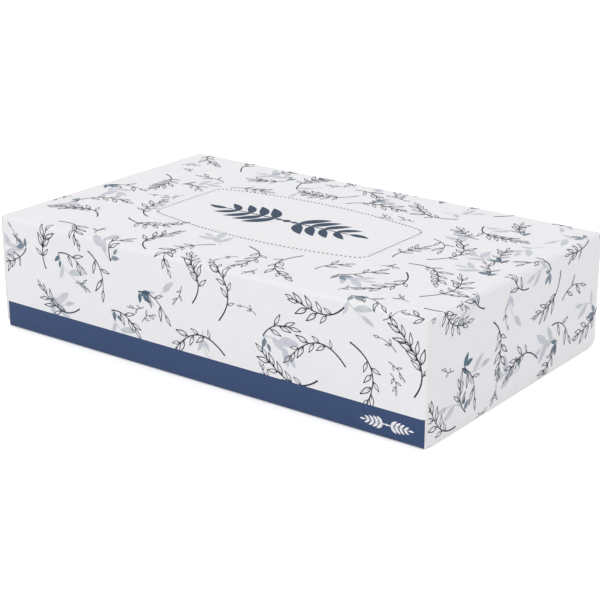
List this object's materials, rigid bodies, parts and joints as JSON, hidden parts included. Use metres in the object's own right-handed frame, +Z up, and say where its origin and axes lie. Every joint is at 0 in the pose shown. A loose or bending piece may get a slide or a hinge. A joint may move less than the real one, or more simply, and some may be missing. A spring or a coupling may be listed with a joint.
{
  "type": "tissue box",
  "caption": "Closed flat tissue carton with glued end flaps, a perforated tear-out in the top, printed leaf sprigs and a coloured foot band.",
  "frame": {"origin": "centre of the base, on the surface that the box stands on", "axes": "+X along the long front edge, to the right as seen from the front; +Y from the front panel to the back panel; +Z up, out of the top panel"},
  "size_m": [0.22, 0.134, 0.051],
  "materials": {
    "carton": "satin"
  },
  "bodies": {
    "root": {"carton": "carton"}
  },
  "joints": []
}
